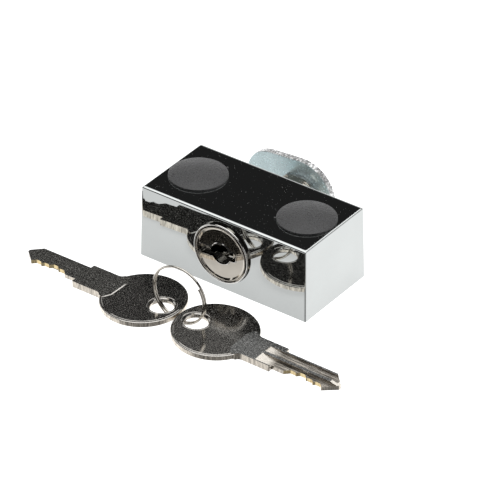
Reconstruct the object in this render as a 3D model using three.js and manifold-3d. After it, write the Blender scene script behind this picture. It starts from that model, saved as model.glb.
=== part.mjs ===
// Keyed cam lock in a surface-mounted block, with its two keys on a ring beside it.
// Millimetres. +X runs along the block, +Y into its depth (the keyhole faces -Y), +Z is up.
// The origin is the centre of the block's flat mounting face.

import * as THREE from 'three';
import { mergeVertices } from 'three/addons/utils/BufferGeometryUtils.js';
import Module from 'manifold-3d';

const wasm = await Module();
wasm.setup();

// ---- Driving dimensions -------------------------------------------------------------------

// Block
const BLOCK_LENGTH = 63.5;
const BLOCK_DEPTH = 31.2;
const BLOCK_HEIGHT = 25.65;
const BLOCK_DRAFT = 0.54; // how far each side leans out between the top and the bottom
const BLOCK_CORNER_RADIUS = 0.6; // upright corners
const BLOCK_EDGE_RADIUS = 0.35; // top edges
const SCREW_SPACING = 42.2;
const SCREW_HOLE_RADIUS = 2.6;
const COUNTERBORE_RADIUS = 8.1;
const COUNTERBORE_FLOOR = 5;

// Lock: lengths below run along the lock's axis from the block's front face
const LOCK_AXIS_HEIGHT = 13.1;
const FLANGE_RADIUS = 10.5;
const FLANGE_PROUD = 1;
const FLANGE_SEAT = 2; // depth of the block's pocket for the flange
const BARREL_RADIUS = 7.95;
const BARREL_FLAT = 7.1; // from the axis to each of the barrel's two flats
const BARREL_LENGTH = 40.5;
const THREAD_PITCH = 1.06;
const BORE_RADIUS = 6.8;
const PLUG_RADIUS = 6.5;
const HEAD_RADIUS = 9.2;
const KEYWAY_OFFSET = -1; // the keyway's middle, from the axis
const REST_ANGLE = -4.5; // about +Y, in degrees: how the plug and cam stand when locked
const TAIL_WIDTH = 6.5;
const WAFER_COUNT = 5;
const WAFER_PITCH = 3.1;
const WAFER_THICKNESS = 0.9;
const WAFER_HALF_WIDTH = 2.3;
const WAFER_TRAVEL = 0.9;

// Cam
const CAM_RADIUS = 12;
const CAM_REACH = 20.8;
const CAM_CORNER_RADIUS = 9.5;
const CAM_CORNER_OFFSET = 2.5; // from the cam's centreline to its corners' centres
const CAM_THICKNESS = 2.3;
const CAM_FRONT = 42.1;

// Keys and ring
const KEY_THICKNESS = 2.2;
const BOW_RADIUS = 14;
const BOW_FLOOR = 0.1; // how far the coined face of the bow lies below the blade's faces
const KEY_HOLE_RADIUS = 3.8;
const KEY_HOLE_OFFSET = 7.34; // from the bow's centre, away from the blade
const BLADE_LINE = -0.4; // the blade's centreline, sideways from the bow's centre
const SHOULDER_HALF_WIDTH = 5.5;
const STOP_DISTANCE = 24.2; // from the bow's centre to the stops
const BLADE_HALF_WIDTH = 3.9;
const KEY_REACH = 46.6; // from the bow's centre to the tip
const CUT_DEPTHS = [0, 1.6, 2.3, 1.45, 1.3]; // the first place is left uncut
const CUT_HALF_WIDTH = 0.85; // of each flat root; the flanks run up at 45 degrees
const FIRST_CUT = 3.6; // from the stops
const MILLING_START = 18.7; // from the bow's centre
const RING_RADIUS = 9.9;
const RING_WIRE_RADIUS = 0.4;

// ---- Finishes -----------------------------------------------------------------------------

function finish(color, roughness, metalness) {
  return new THREE.MeshStandardMaterial({ color, roughness, metalness });
}

const CHROME = finish(0xd9dbdc, 0.06, 1);
const NICKEL = finish(0xc9c3b8, 0.1, 1);
const DARK_PLASTIC = finish(0x48484a, 0.75, 0);
const ZINC_CASTING = finish(0x8f9496, 0.45, 1);
const BLUE_ZINC = finish(0xc3d3da, 0.3, 1);
const BRASS = finish(0xc7a866, 0.35, 1);
const SPRING_STEEL = finish(0x9a9a98, 0.3, 1);
const KEY_NICKEL = finish(0xa8a6a1, 0.2, 1);

// ---- Building blocks ----------------------------------------------------------------------

// A closed three.js geometry as a solid: shared vertices are merged, collapsed triangles are
// dropped, and a shape that comes out inside-out is turned round.
function solid(geometry) {
  const bare = geometry.clone();
  bare.deleteAttribute('normal');
  bare.deleteAttribute('uv');
  const merged = mergeVertices(bare, 1e-4);
  const positions = merged.attributes.position.array;
  const corners = merged.index.array;
  const kept = [];
  let sixVolumes = 0;
  const point = (i) => new THREE.Vector3().fromArray(positions, 3 * i);
  for (let i = 0; i < corners.length; i += 3) {
    const [a, b, c] = [corners[i], corners[i + 1], corners[i + 2]];
    if (a === b || b === c || c === a) continue;
    kept.push(a, b, c);
    sixVolumes += point(a).dot(point(b).cross(point(c)));
  }
  if (sixVolumes < 0) kept.reverse();
  return new wasm.Manifold(new wasm.Mesh({
    numProp: 3,
    vertProperties: new Float32Array(positions),
    triVerts: new Uint32Array(kept),
  }));
}

function joined(shapes) {
  return shapes.reduce((whole, piece) => whole.add(piece));
}

function piece(name, shape, material) {
  const { vertProperties, triVerts } = shape.getMesh();
  const geometry = new THREE.BufferGeometry();
  geometry.setAttribute('position', new THREE.BufferAttribute(vertProperties, 3));
  geometry.setIndex(new THREE.BufferAttribute(triVerts, 1));
  geometry.computeVertexNormals();
  const mesh = new THREE.Mesh(geometry, material);
  mesh.name = name;
  return mesh;
}

// A box given by its low and high corners.
function box([x0, y0, z0], [x1, y1, z1]) {
  const geometry = new THREE.BoxGeometry(x1 - x0, y1 - y0, z1 - z0);
  geometry.translate((x0 + x1) / 2, (y0 + y1) / 2, (z0 + z1) / 2);
  return solid(geometry);
}

// A round shape about the Y axis, from [radius, y] pairs.
function turned(profile, facets) {
  const points = profile.map(([radius, y]) => new THREE.Vector2(radius, y));
  return solid(new THREE.LatheGeometry(points, facets));
}

// The same about the Z axis, from [radius, z] pairs.
function turnedUpright(profile, facets) {
  const points = profile.map(([radius, z]) => new THREE.Vector2(radius, z));
  return solid(new THREE.LatheGeometry(points, facets).rotateX(Math.PI / 2));
}

function rod(radius, y0, y1, facets) {
  return turned([[0, y0], [radius, y0], [radius, y1], [0, y1]], facets);
}

function uprightRod(radius, z0, z1, facets) {
  return turnedUpright([[0, z0], [radius, z0], [radius, z1], [0, z1]], facets);
}

// A flat shape drawn in X and Z, given thickness along Y from y0 to y1.
function plate(shape, y0, y1, curveSegments = 8) {
  const options = { depth: y1 - y0, bevelEnabled: false, curveSegments };
  return solid(new THREE.ExtrudeGeometry(shape, options).rotateX(Math.PI / 2).translate(0, y1, 0));
}

function roundedRectangle(halfWidth, halfHeight, radius) {
  const shape = new THREE.Shape();
  const [x, y] = [halfWidth - radius, halfHeight - radius];
  shape.absarc(x, y, radius, 0, Math.PI / 2);
  shape.absarc(-x, y, radius, Math.PI / 2, Math.PI);
  shape.absarc(-x, -y, radius, Math.PI, Math.PI * 1.5);
  shape.absarc(x, -y, radius, Math.PI * 1.5, Math.PI * 2);
  shape.closePath();
  return shape;
}

// Round wire along a curve.
function wire(curve, radius, steps, sides) {
  const section = new THREE.Shape();
  for (let i = 0; i < sides; i += 1) {
    const angle = (2 * Math.PI * i) / sides;
    section.lineTo(radius * Math.cos(angle), radius * Math.sin(angle));
  }
  section.closePath();
  return solid(new THREE.ExtrudeGeometry(section, { steps, bevelEnabled: false, extrudePath: curve }));
}

// Cross-shaped driver recess, cut into a head that faces up Z.
function crossRecess(reach, z0, z1) {
  const half = reach / 6;
  return box([-reach, -half, z0], [reach, half, z1]).add(box([-half, -reach, z0], [half, reach, z1]));
}

// ---- Block --------------------------------------------------------------------------------

// Half of the block's depth at the height of the lock's axis, where its sides lean out.
const AXIS_HALF_DEPTH = BLOCK_DEPTH / 2 + BLOCK_DRAFT * (1 - LOCK_AXIS_HEIGHT / BLOCK_HEIGHT);
const BLOCK_BACK = 2 * AXIS_HALF_DEPTH; // back face, measured along the lock's axis

// The draughted outside, with rounded top edges and a sharp bottom edge.
function blockBody() {
  const edge = BLOCK_EDGE_RADIUS;
  const below = 2;
  const outline = roundedRectangle(
    BLOCK_LENGTH / 2 - edge, BLOCK_DEPTH / 2 - edge, BLOCK_CORNER_RADIUS - edge,
  );
  const geometry = new THREE.ExtrudeGeometry(outline, {
    depth: BLOCK_HEIGHT + below - 2 * edge,
    bevelThickness: edge,
    bevelSize: edge,
    bevelSegments: 2,
    curveSegments: 2,
  });
  geometry.translate(0, 0, edge - below);
  const position = geometry.attributes.position;
  for (let i = 0; i < position.count; i += 1) {
    const lean = BLOCK_DRAFT * (1 - position.getZ(i) / BLOCK_HEIGHT);
    position.setX(i, position.getX(i) * (1 + lean / (BLOCK_LENGTH / 2)));
    position.setY(i, position.getY(i) * (1 + lean / (BLOCK_DEPTH / 2)));
  }
  const underneath = box([-BLOCK_LENGTH, -BLOCK_DEPTH, -2 * below], [BLOCK_LENGTH, BLOCK_DEPTH, 0]);
  return solid(geometry).subtract(underneath);
}

// Double-D hole that keeps the barrel from turning, and the flange's pocket in front of it.
function lockHole() {
  const clearance = 0.15;
  const wall = BARREL_FLAT + clearance;
  const hole = rod(BARREL_RADIUS + clearance, -5, BLOCK_BACK + 5, 40)
    .intersect(box([-20, -6, -wall], [20, BLOCK_BACK + 6, wall]));
  const pocket = rod(FLANGE_RADIUS + 0.25, -5, FLANGE_SEAT + 0.1, 48);
  return hole.add(pocket).translate([0, -AXIS_HALF_DEPTH, LOCK_AXIS_HEIGHT]);
}

function screwHole(x) {
  const counterbore = uprightRod(COUNTERBORE_RADIUS, COUNTERBORE_FLOOR, BLOCK_HEIGHT + 1, 36);
  const through = uprightRod(SCREW_HOLE_RADIUS, -1, COUNTERBORE_FLOOR + 1, 20);
  return counterbore.add(through).translate([x, 0, 0]);
}

function housing() {
  const shape = blockBody()
    .subtract(lockHole())
    .subtract(screwHole(-SCREW_SPACING / 2))
    .subtract(screwHole(SCREW_SPACING / 2));
  return piece('housing', shape, CHROME);
}

// Snap-in cover for a screw hole: a domed head over a split skirt with a small barb.
function holePlug(name, x, nibAngle) {
  const headRadius = 9.65;
  const skirtRadius = 7.7;
  const skirtInside = 6.5;
  const skirtEnd = -5;
  const crown = 2;
  const rim = 0.95;
  const base = 0.04;
  const profile = [[0, crown]];
  const domeSteps = 5;
  for (let i = 1; i <= domeSteps; i += 1) {
    const across = i / domeSteps;
    profile.push([across * (headRadius - 0.25), crown - (crown - rim) * across ** 2]);
  }
  profile.push([headRadius, rim - 0.3], [headRadius, base], [skirtRadius, base]);
  profile.push([skirtRadius, skirtEnd + 1.3], [skirtRadius + 0.25, skirtEnd + 0.9]);
  profile.push([skirtRadius - 0.6, skirtEnd], [skirtInside, skirtEnd], [skirtInside, -0.8], [0, -0.8]);
  let shape = turnedUpright(profile, 36);
  for (let i = 0; i < 3; i += 1) {
    const slot = box([-10, -0.8, skirtEnd - 1], [10, 0.8, -1]).rotate([0, 0, 60 * i + 15]);
    shape = shape.subtract(slot);
  }
  const nib = box([headRadius - 0.4, -0.35, base], [headRadius + 0.7, 0.35, 0.5]);
  shape = shape.add(nib.rotate([0, 0, nibAngle]));
  const mesh = piece(name, shape, DARK_PLASTIC);
  mesh.position.set(x, 0, BLOCK_HEIGHT);
  return mesh;
}

// Pan-head mounting screw, standing loose in its hole with its tip just above the mounting face.
function mountingScrew(name, x) {
  const tip = 0.3;
  const underHead = 16.3;
  const headTop = 19.4;
  const core = 1.75;
  const crest = 2.35;
  const threadPitch = 2;
  const profile = [[0, tip], [core, tip + 3]];
  for (let z = tip + 3.6; z < underHead - 3; z += threadPitch) {
    profile.push([core, z], [crest, z + threadPitch * 0.35], [core, z + threadPitch * 0.7]);
  }
  profile.push([core, underHead - 1], [crest, underHead], [4.6, underHead]);
  profile.push([4.6, headTop - 1.3], [3.7, headTop - 0.3], [0, headTop]);
  const shape = turnedUpright(profile, 16).subtract(crossRecess(2.2, headTop - 1.6, headTop + 1));
  const mesh = piece(name, shape, SPRING_STEEL);
  mesh.position.x = x;
  return mesh;
}

// ---- Lock ---------------------------------------------------------------------------------

// Places of the wafers along the axis: one behind each cut of a key pushed in to its stops.
const HEAD_FRONT = 0;
const SHOULDER_RECESS = 0.7; // depth of the hollow in the plug's head that takes the key's stops
const KEY_STOP = HEAD_FRONT + SHOULDER_RECESS;
function waferPlace(i) {
  return KEY_STOP + FIRST_CUT + i * WAFER_PITCH;
}

const BARREL_COUNTERBORE = 9.85;
const HEAD_SEAT = 1.4; // where the barrel's wide mouth steps down to its bore
const STOP_WALL_END = 41.85;
const STOP_WALL_INSIDE = 7.15;

function barrelProfile() {
  const bead = 0.3;
  const crest = BARREL_RADIUS;
  const root = BARREL_RADIUS - 0.45;
  const threadStart = BLOCK_BACK + 3.2;
  const profile = [
    [BORE_RADIUS, BARREL_LENGTH], [BORE_RADIUS, HEAD_SEAT], [BARREL_COUNTERBORE, HEAD_SEAT],
    [BARREL_COUNTERBORE, -FLANGE_PROUD + bead], [BARREL_COUNTERBORE + bead, -FLANGE_PROUD],
    [FLANGE_RADIUS - bead, -FLANGE_PROUD], [FLANGE_RADIUS, -FLANGE_PROUD + bead],
    [FLANGE_RADIUS, FLANGE_SEAT], [crest, FLANGE_SEAT],
  ];
  for (let y = threadStart; y < BARREL_LENGTH - THREAD_PITCH; y += THREAD_PITCH) {
    profile.push([crest, y], [root, y + THREAD_PITCH / 2]);
  }
  profile.push([crest, BARREL_LENGTH - 0.4], [crest - 0.4, BARREL_LENGTH]);
  profile.push([BORE_RADIUS, BARREL_LENGTH]);
  return profile;
}

// Part of a ring left standing on the barrel's end, which the stop washer's tab runs against.
function stopWall() {
  const [low, high] = [BARREL_LENGTH - 1, STOP_WALL_END];
  const ring = turned([
    [STOP_WALL_INSIDE, low], [BARREL_RADIUS, low], [BARREL_RADIUS, high],
    [STOP_WALL_INSIDE, high], [STOP_WALL_INSIDE, low],
  ], 40);
  const flats = box([-10, low, -BARREL_FLAT], [10, high, BARREL_FLAT]);
  const lowerPart = box([-10, low - 1, -10], [10, high + 1, 3.6]).rotate([0, REST_ANGLE, 0]);
  return ring.intersect(flats).intersect(lowerPart);
}

function lockBarrel() {
  const flats = box([-20, FLANGE_SEAT, -BARREL_FLAT], [20, BARREL_LENGTH + 5, BARREL_FLAT]);
  const flange = box([-20, -5, -20], [20, FLANGE_SEAT, 20]);
  const grooveDepth = 7.45; // wafers that stand out of the plug stop it turning in these grooves
  const grooveHalf = WAFER_HALF_WIDTH + 0.2;
  const groove = box(
    [-grooveDepth, waferPlace(0) - 1.2, -grooveHalf],
    [grooveDepth, waferPlace(WAFER_COUNT - 1) + 1.2, grooveHalf],
  ).rotate([0, REST_ANGLE, 0]);
  const shape = turned(barrelProfile(), 40)
    .intersect(flats.add(flange))
    .add(stopWall())
    .subtract(groove);
  return piece('lock_barrel', shape, NICKEL);
}

function barrelNut() {
  const acrossFlats = 19;
  const [front, back] = [BLOCK_BACK + 0.35, BLOCK_BACK + 2.9]; // the leaning face below is just clear
  const corner = acrossFlats / Math.sqrt(3);
  const hexagon = solid(
    new THREE.CylinderGeometry(corner, corner, back - front, 6)
      .rotateY(Math.PI / 6)
      .translate(0, (front + back) / 2, 0),
  );
  const chamfer = 0.45;
  const rounded = turned([
    [0, front], [corner - 3 * chamfer, front], [corner, front + chamfer],
    [corner, back - chamfer], [corner - 3 * chamfer, back], [0, back],
  ], 36);
  const hole = rod(BARREL_RADIUS + 0.15, front - 1, back + 1, 40);
  return piece('barrel_nut', hexagon.intersect(rounded).subtract(hole), BLUE_ZINC);
}

const PLUG_END = 40.3;
const TAIL_END = CAM_FRONT + CAM_THICKNESS - 0.35;
const KEYWAY_END = KEY_STOP + KEY_REACH - STOP_DISTANCE + 0.6;
const KEYWAY_HALF_WIDTH = BLADE_HALF_WIDTH + 0.14;
const KEYWAY_HALF_HEIGHT = KEY_THICKNESS / 2 + 0.15;
const RECESS_LOW = -8.3; // ends of the hollow that takes the key's stops
const RECESS_HIGH = 5.6;
const RECESS_HALF_HEIGHT = 1.6;
const ROUND_RECESS_RADIUS = 3.8;
const ROUND_RECESS_FLOOR = KEY_STOP + 0.9;
const DIMPLE_RADIUS = 2.1; // round hollow in the floor of the round recess
const SPRING_CENTRE = 3.05; // height of the wafer springs above the axis
const EAR_LOW = 0.2; // the wafers' ears, which the springs push
const EAR_HIGH = 1;
const SPRING_LOW = 1.15;
const SPRING_HIGH = 3.3;

// Room for one wafer, its ear and its spring.
function waferChamber(place) {
  const slotHalf = WAFER_THICKNESS / 2 + 0.1;
  const pocketHalf = 0.75;
  const slot = box(
    [-PLUG_RADIUS - 1, place - slotHalf, -WAFER_HALF_WIDTH - 0.12],
    [PLUG_RADIUS + 1, place + slotHalf, WAFER_HALF_WIDTH + 0.12],
  );
  const pocket = box(
    [EAR_LOW - WAFER_TRAVEL - 0.2, place - pocketHalf, WAFER_HALF_WIDTH - 0.1],
    [SPRING_HIGH + 0.15, place + pocketHalf, SPRING_CENTRE + 0.7],
  );
  return slot.add(pocket);
}

// The slot that lets the key's stops in, larger all round by some clearance.
function stopRecess(clearance, y0, y1) {
  const halfLength = (RECESS_HIGH - RECESS_LOW) / 2 + clearance;
  const slot = plate(roundedRectangle(halfLength, RECESS_HALF_HEIGHT + clearance, 0.9), y0, y1, 4);
  return slot.translate([(RECESS_LOW + RECESS_HIGH) / 2, 0, 0]);
}

function plug() {
  const facets = 40;
  const tailHalf = TAIL_WIDTH / 2;
  const tail = box([-tailHalf, PLUG_END - 1, -tailHalf], [tailHalf, TAIL_END, tailHalf]);
  const cutters = [
    box(
      [KEYWAY_OFFSET - KEYWAY_HALF_WIDTH, HEAD_FRONT - 1, -KEYWAY_HALF_HEIGHT],
      [KEYWAY_OFFSET + KEYWAY_HALF_WIDTH, KEYWAY_END, KEYWAY_HALF_HEIGHT],
    ),
    stopRecess(0, HEAD_FRONT - 1, KEY_STOP),
    rod(ROUND_RECESS_RADIUS, HEAD_FRONT - 1, ROUND_RECESS_FLOOR, 32),
    solid(new THREE.SphereGeometry(DIMPLE_RADIUS, 24, 14).translate(0, ROUND_RECESS_FLOOR - 0.4, 0)),
    rod(2.2, 35, TAIL_END + 1, 16), // hole for the cam screw
  ];
  for (let i = 0; i < WAFER_COUNT; i += 1) cutters.push(waferChamber(waferPlace(i)));
  const shape = rod(HEAD_RADIUS, HEAD_FRONT, HEAD_SEAT - 0.2, facets)
    .add(rod(PLUG_RADIUS, 0, PLUG_END, facets))
    .add(tail)
    .subtract(joined(cutters));
  return piece('plug', shape, ZINC_CASTING);
}

// Bright cap pressed over the plug's head, its flat face set back behind a rolled rim and open
// only for the key.
function faceCap() {
  const thickness = 0.4;
  const dish = 0.45;
  const outside = 9.65;
  const rimInside = 9.05;
  const edge = 0.2;
  const face = HEAD_FRONT - 0.2 - thickness;
  const [front, skirtEnd] = [face - dish, 1];
  const inside = HEAD_RADIUS + 0.15;
  const cup = turned([
    [0, face], [rimInside - dish, face], [rimInside, front + 0.05], [rimInside + edge, front],
    [outside - edge, front], [outside, front + edge], [outside, skirtEnd], [inside, skirtEnd],
    [inside, face + thickness], [0, face + thickness],
  ], 48);
  const flare = 0.5;
  const roundHole = turned([
    [0, front - 1], [ROUND_RECESS_RADIUS + flare, front - 1], [ROUND_RECESS_RADIUS + flare, face],
    [ROUND_RECESS_RADIUS, face + thickness], [ROUND_RECESS_RADIUS, face + 2], [0, face + 2],
  ], 40);
  const opening = stopRecess(0.05, front - 1.2, face + 2.2).add(roundHole);
  return piece('face_cap', cup.subtract(opening), NICKEL);
}

// Flat tumbler: its window's cut side bears on the root of one cut of the key.
function wafer(i) {
  const half = WAFER_THICKNESS / 2;
  const blank = box([-8, -half, -WAFER_HALF_WIDTH], [8, half, WAFER_HALF_WIDTH])
    .intersect(rod(PLUG_RADIUS - 0.12, -1, 1, 40));
  const ear = box([EAR_LOW, -half, WAFER_HALF_WIDTH - 0.3], [EAR_HIGH, half, SPRING_CENTRE + 0.5]);
  const window = box(
    [KEYWAY_OFFSET - KEYWAY_HALF_WIDTH, -1, -KEYWAY_HALF_HEIGHT],
    [KEYWAY_OFFSET + BLADE_HALF_WIDTH - CUT_DEPTHS[i] + 0.12, 1, KEYWAY_HALF_HEIGHT],
  );
  const mesh = piece(`wafer_${i + 1}`, blank.add(ear).subtract(window), BRASS);
  mesh.position.y = waferPlace(i);
  return mesh;
}

class Helix extends THREE.Curve {
  constructor(radius, length, turns) {
    super();
    Object.assign(this, { radius, length, turns });
  }

  // Runs along +X.
  getPoint(t, target = new THREE.Vector3()) {
    const angle = 2 * Math.PI * this.turns * t;
    const across = this.radius * Math.cos(angle);
    return target.set(this.length * t, across, this.radius * Math.sin(angle));
  }
}

function waferSpring(i) {
  const wireRadius = 0.13;
  const length = SPRING_HIGH - SPRING_LOW - 2 * wireRadius;
  const coil = new Helix(0.44, length, 3.5);
  const mesh = piece(`wafer_spring_${i + 1}`, wire(coil, wireRadius, 28, 5), SPRING_STEEL);
  mesh.position.set(SPRING_LOW + wireRadius, waferPlace(i), SPRING_CENTRE);
  return mesh;
}

const SQUARE_HOLE_HALF = TAIL_WIDTH / 2 + 0.15;
function squareHole(y0, y1) {
  return box([-SQUARE_HOLE_HALF, y0, -SQUARE_HOLE_HALF], [SQUARE_HOLE_HALF, y1, SQUARE_HOLE_HALF]);
}

// Washer whose tab meets the barrel's stop wall a quarter turn apart.
function stopWasher() {
  const [front, back] = [BARREL_LENGTH + 0.2, CAM_FRONT - 0.15];
  const outline = new THREE.Shape();
  const tabHalfAngle = Math.PI / 12;
  const tabMiddle = (Math.PI * 3) / 4; // anticlockwise from +X, towards +Z
  const [tabStart, tabEnd] = [tabMiddle - tabHalfAngle, tabMiddle + tabHalfAngle];
  outline.absarc(0, 0, 6.9, tabEnd, tabStart + 2 * Math.PI);
  outline.absarc(0, 0, 7.85, tabStart, tabEnd);
  outline.closePath();
  const shape = plate(outline, front, back, 16).subtract(squareHole(front - 1, back + 1));
  return piece('stop_washer', shape, SPRING_STEEL);
}

// Round about the axis, with nearly straight sides to a broad rounded tip.
function camOutline() {
  const tipX = CAM_CORNER_RADIUS - CAM_REACH;
  const spread = Math.hypot(tipX, CAM_CORNER_OFFSET);
  const towardsCorner = Math.atan2(CAM_CORNER_OFFSET, tipX);
  const tangent = towardsCorner - Math.acos((CAM_RADIUS - CAM_CORNER_RADIUS) / spread);
  const outline = new THREE.Shape();
  outline.absarc(0, 0, CAM_RADIUS, -tangent, tangent);
  outline.absarc(tipX, CAM_CORNER_OFFSET, CAM_CORNER_RADIUS, tangent, Math.PI);
  outline.absarc(tipX, -CAM_CORNER_OFFSET, CAM_CORNER_RADIUS, Math.PI, 2 * Math.PI - tangent);
  outline.closePath();
  return outline;
}

function cam() {
  const back = CAM_FRONT + CAM_THICKNESS;
  const shape = plate(camOutline(), CAM_FRONT, back, 14)
    .subtract(squareHole(CAM_FRONT - 1, back + 1));
  return piece('cam', shape, BLUE_ZINC);
}

const WASHER_FRONT = CAM_FRONT + CAM_THICKNESS + 0.1;
const WASHER_BACK = WASHER_FRONT + 0.8;

// Split spring washer under the cam screw's head.
function camLockWasher() {
  const [inside, outside] = [2.5, 5.2];
  const ring = turned([
    [inside, WASHER_FRONT], [outside, WASHER_FRONT], [outside, WASHER_BACK],
    [inside, WASHER_BACK], [inside, WASHER_FRONT],
  ], 28);
  const split = box([0, WASHER_FRONT - 1, -0.3], [10, WASHER_BACK + 1, 0.3]).rotate([0, 35, 0]);
  return piece('cam_lock_washer', ring.subtract(split), SPRING_STEEL);
}

function camScrew() {
  const [seat, top] = [WASHER_BACK + 0.1, WASHER_BACK + 2.5];
  const shankRadius = 2;
  const headRadius = 4.3;
  const body = turnedUpright([
    [0, 36], [shankRadius - 0.5, 36], [shankRadius, 36.5], [shankRadius, seat],
    [headRadius, seat], [headRadius, top - 1], [headRadius - 0.8, top - 0.2], [0, top],
  ], 24);
  const shape = body.subtract(crossRecess(2.1, top - 1.3, top + 1)).rotate([-90, 0, 0]);
  return piece('cam_screw', shape, BLUE_ZINC);
}

function lock() {
  const group = new THREE.Group();
  group.position.set(0, -AXIS_HALF_DEPTH, LOCK_AXIS_HEIGHT);
  const turning = new THREE.Group();
  turning.rotation.y = THREE.MathUtils.degToRad(REST_ANGLE);
  turning.add(plug(), faceCap());
  for (let i = 0; i < WAFER_COUNT; i += 1) turning.add(wafer(i), waferSpring(i));
  turning.add(stopWasher(), cam(), camLockWasher(), camScrew());
  group.add(lockBarrel(), barrelNut(), turning);
  return group;
}

// ---- Keys and ring ------------------------------------------------------------------------

// Outline of the neck, shoulder and blade about the blade's centreline, with the blade along +X
// and the cuts on the -Y side.
function bladeOutline() {
  const outline = new THREE.Shape();
  const neck = 9.1;
  const neckHalf = 4.2;
  const [wingX, wingY] = [10.6, 6.9]; // where the neck's edge comes out at the bow's rim
  const fillet = 2; // between the bow's round edge and the shoulder's straight one
  const filletY = SHOULDER_HALF_WIDTH + fillet;
  const filletX = Math.sqrt((BOW_RADIUS + fillet) ** 2 - filletY ** 2);
  const towardsBow = Math.atan2(filletY, filletX);
  const edge = -BLADE_HALF_WIDTH;
  const [tipLow, tipHigh] = [-0.3, 0.6]; // the blunt end of the tip
  const cuts = CUT_DEPTHS
    .map((depth, i) => [STOP_DISTANCE + FIRST_CUT + i * WAFER_PITCH, depth])
    .filter(([, depth]) => depth > 0);
  outline.moveTo(neck, -neckHalf);
  outline.lineTo(wingX, -wingY);
  outline.absarc(filletX, -filletY, fillet, Math.PI - towardsBow, Math.PI / 2, true);
  outline.lineTo(STOP_DISTANCE, -SHOULDER_HALF_WIDTH);
  outline.lineTo(STOP_DISTANCE, edge);
  const [firstMiddle, firstDepth] = cuts[0];
  outline.lineTo(firstMiddle - CUT_HALF_WIDTH - firstDepth, edge);
  cuts.forEach(([middle, depth], i) => {
    const end = middle + CUT_HALF_WIDTH;
    outline.lineTo(middle - CUT_HALF_WIDTH, edge + depth);
    outline.lineTo(end, edge + depth);
    const [nextMiddle, nextDepth] = cuts[i + 1] ?? [Infinity, 0];
    const gap = nextMiddle - CUT_HALF_WIDTH - end;
    const rise = Math.min((gap + depth - nextDepth) / 2, depth);
    outline.lineTo(end + rise, edge + depth - rise);
  });
  outline.lineTo(KEY_REACH, tipLow);
  outline.lineTo(KEY_REACH, tipHigh);
  outline.lineTo(KEY_REACH + tipHigh - BLADE_HALF_WIDTH, BLADE_HALF_WIDTH);
  outline.lineTo(STOP_DISTANCE, BLADE_HALF_WIDTH);
  outline.lineTo(STOP_DISTANCE, SHOULDER_HALF_WIDTH);
  outline.absarc(filletX, filletY, fillet, -Math.PI / 2, towardsBow - Math.PI, true);
  outline.lineTo(wingX, wingY);
  outline.lineTo(neck, neckHalf);
  outline.closePath();
  return outline;
}

// A cutter for one groove along the blade, milled by a wheel that leaves a long curved run-out.
function groove(y0, y1, depth) {
  const top = KEY_THICKNESS / 2;
  const runOut = 6;
  const steps = 4;
  const side = new THREE.Shape();
  side.moveTo(MILLING_START, top + 1);
  for (let i = 0; i <= steps; i += 1) {
    const left = 1 - i / steps;
    side.lineTo(MILLING_START + runOut * (1 - left), top - depth * (1 - left ** 2));
  }
  side.lineTo(KEY_REACH + 1, top - depth);
  side.lineTo(KEY_REACH + 1, top + 1);
  side.closePath();
  return plate(side, y0, y1);
}

// The grooves side by side, measured across the blade from its centreline: a shallow one, and a
// deeper one that runs out through the cut edge.
function milling() {
  const shallow = groove(0.25, 3.2, 0.5);
  const deep = groove(-SHOULDER_HALF_WIDTH + 0.4, -0.9, 0.9);
  return shallow.add(deep).translate([0, BLADE_LINE, 0]);
}

// A cutter that thins the tip on the milled side.
function tipChamfer() {
  const top = KEY_THICKNESS / 2;
  const start = KEY_REACH - 3;
  const end = KEY_REACH + 1;
  const drop = 1;
  const side = new THREE.Shape();
  side.moveTo(start, top);
  side.lineTo(end, top - drop);
  side.lineTo(end, top + drop);
  side.lineTo(start, top + drop);
  side.closePath();
  return plate(side, -SHOULDER_HALF_WIDTH, SHOULDER_HALF_WIDTH);
}

// The round hole for the ring, opening out at both faces.
function ringHole() {
  const floor = KEY_THICKNESS / 2 - BOW_FLOOR;
  const flare = 0.5;
  const beyond = 2;
  const mouth = KEY_HOLE_RADIUS + beyond - floor + flare;
  return turnedUpright([
    [0, -beyond], [mouth, -beyond], [KEY_HOLE_RADIUS, -floor + flare],
    [KEY_HOLE_RADIUS, floor - flare], [mouth, beyond], [0, beyond],
  ], 32).translate([-KEY_HOLE_OFFSET, 0, 0]);
}

// The round bow, its rim rolled over on both sides.
function bowDisc() {
  const floor = KEY_THICKNESS / 2 - BOW_FLOOR;
  const rim = [[1, 0], [0.3, 0.17], [0, 0.45]]; // inwards from the edge, and down from the face
  const upper = rim.map(([inwards, down]) => [BOW_RADIUS - inwards, floor - down]);
  const lower = upper.map(([radius, z]) => [radius, -z]);
  return turnedUpright([[0, -floor], ...lower, ...upper.reverse(), [0, floor]], 48);
}

// One key lying flat: the bow's centre at the origin, the blade along +X, the milled face up.
function keyShape() {
  const bladeOptions = { depth: KEY_THICKNESS, bevelEnabled: false, curveSegments: 3 };
  const blade = new THREE.ExtrudeGeometry(bladeOutline(), bladeOptions)
    .translate(0, BLADE_LINE, -KEY_THICKNESS / 2);
  return bowDisc()
    .add(solid(blade))
    .subtract(ringHole())
    .subtract(milling())
    .subtract(tipChamfer());
}

const RING_CENTRE = new THREE.Vector3(0.7, -39.2, RING_RADIUS + RING_WIRE_RADIUS + 0.1);
const KEY_SPREAD = 14.17; // from the ring's centre to each bow's centre
const KEY_MIDDLE_HEIGHT = 2.5; // the bow's mid-thickness, held up by the ring's wire under it
const KEY_TILT = 1.67; // degrees

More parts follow.
